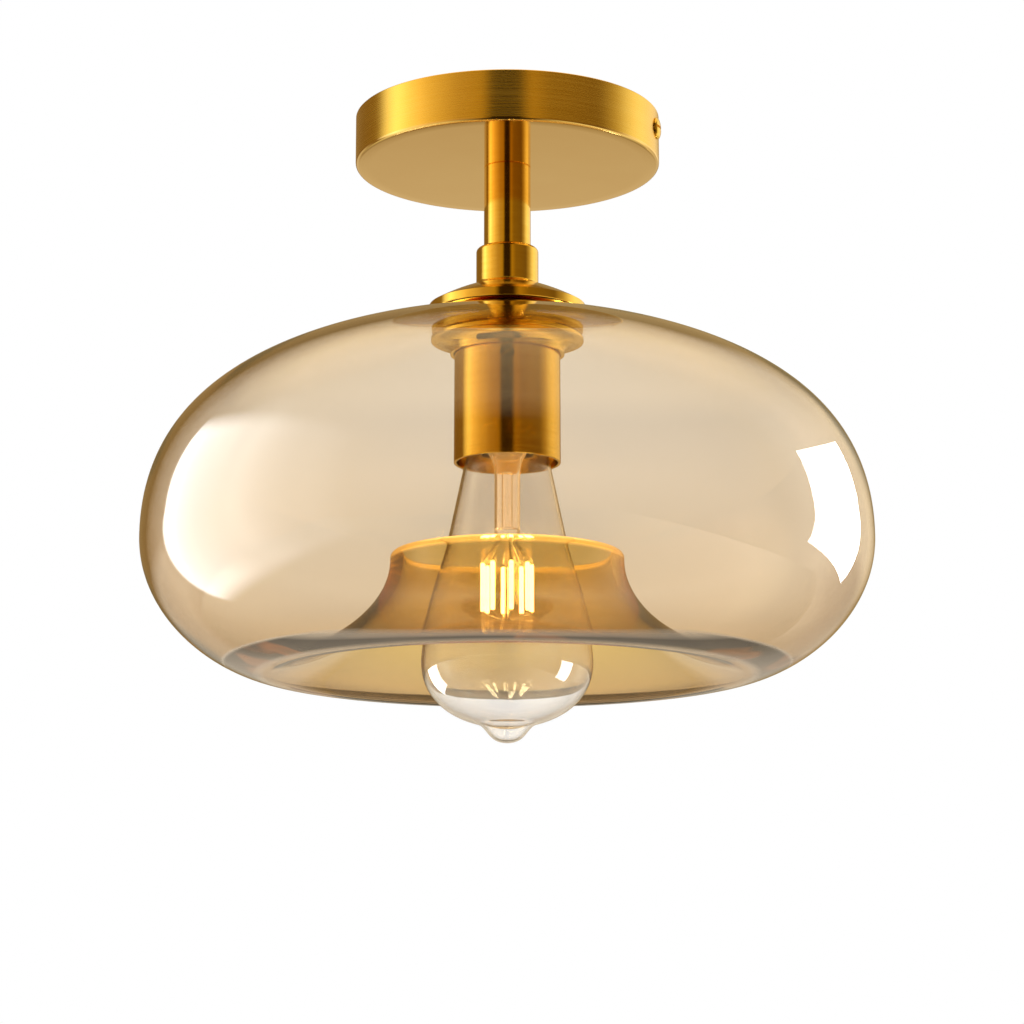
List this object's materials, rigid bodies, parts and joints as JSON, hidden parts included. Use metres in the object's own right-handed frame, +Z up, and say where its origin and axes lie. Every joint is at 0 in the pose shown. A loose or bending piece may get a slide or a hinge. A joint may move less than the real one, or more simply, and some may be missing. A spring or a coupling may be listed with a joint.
{
  "type": "semi-flush ceiling light",
  "caption": "Semi-flush ceiling light with a round brass canopy, short stem, flattened glass globe with a re-entrant well, and a screw-in filament lamp.",
  "frame": {"origin": "centre of the ceiling plane, midway between the two slots of the mounting bar", "axes": "+Z up into the ceiling along the axis of the light, +X along the mounting bar; the light hangs towards -Z"},
  "size_m": [0.2822, 0.2822, 0.2482],
  "materials": {
    "zinc_steel": "zinc-plated steel, satin",
    "brushed_brass": "brushed gold brass with a polished lower edge",
    "polished_brass": "polished gold brass",
    "plain_brass": "plain brass",
    "white_plastic": "moulded nylon",
    "black_rubber": "soft silicone rubber",
    "champagne_glass": "transparent champagne glass, fire-polished",
    "white_ceramic": "unglazed steatite",
    "brown_insulation": "lead insulation",
    "blue_insulation": "lead insulation",
    "green_insulation": "lead insulation",
    "solder": "solder, dull",
    "black_glass": "black glass insulator",
    "lamp_brass": "nickel-free brass cap",
    "clear_glass": "clear blown glass",
    "stem_glass": "clear lead-free glass",
    "wire_steel": "nickel wire",
    "lit_filament": "phosphor-coated filament bar, lit"
  },
  "bodies": {
    "fixture": {"mounting_bar": "zinc_steel", "canopy": "brushed_brass", "canopy_screws": "polished_brass", "earth_screw": "plain_brass", "terminal_block": "white_plastic", "terminal_screws": "plain_brass", "block_screw": "zinc_steel", "hollow_rod": "zinc_steel", "canopy_nut": "zinc_steel", "canopy_washer": "zinc_steel", "lock_washer": "zinc_steel", "stem": "polished_brass", "upper_cap": "polished_brass", "upper_gasket": "black_rubber", "glass_shade": "champagne_glass", "lower_gasket": "black_rubber", "shade_holder": "polished_brass", "shade_nut": "zinc_steel", "socket_cup": "polished_brass", "cup_set_screw": "polished_brass", "lampholder_dome": "plain_brass", "lampholder_shell": "plain_brass", "contact_carrier": "white_ceramic", "screw_shell": "plain_brass", "centre_contact": "plain_brass", "lead_screws": "plain_brass", "live_lead": "brown_insulation", "neutral_lead": "blue_insulation", "earth_lead": "green_insulation"},
    "lamp_tip": {"tip_contact": "solder"},
    "lamp": {"lamp_insulator": "black_glass", "lamp_cap": "lamp_brass", "lamp_glass": "clear_glass", "lamp_stem": "stem_glass", "support_wires": "wire_steel", "led_filaments": "lit_filament"}
  },
  "joints": [
    {"name": "lamp_travel", "type": "slide", "parent": "fixture", "child": "lamp_tip", "axis": [0, 0, -1], "range_m": [0, 0.0164]},
    {"name": "lamp_turn", "type": "hinge", "parent": "lamp_tip", "child": "lamp", "pos_m": [0, 0, -0.107], "axis": [0, 0, -1], "range_deg": [0, 1620]}
  ],
  "couplings": [
    {"joint": "lamp_travel", "follows": "lamp_turn", "m_per_rad": 0.00057757}
  ]
}
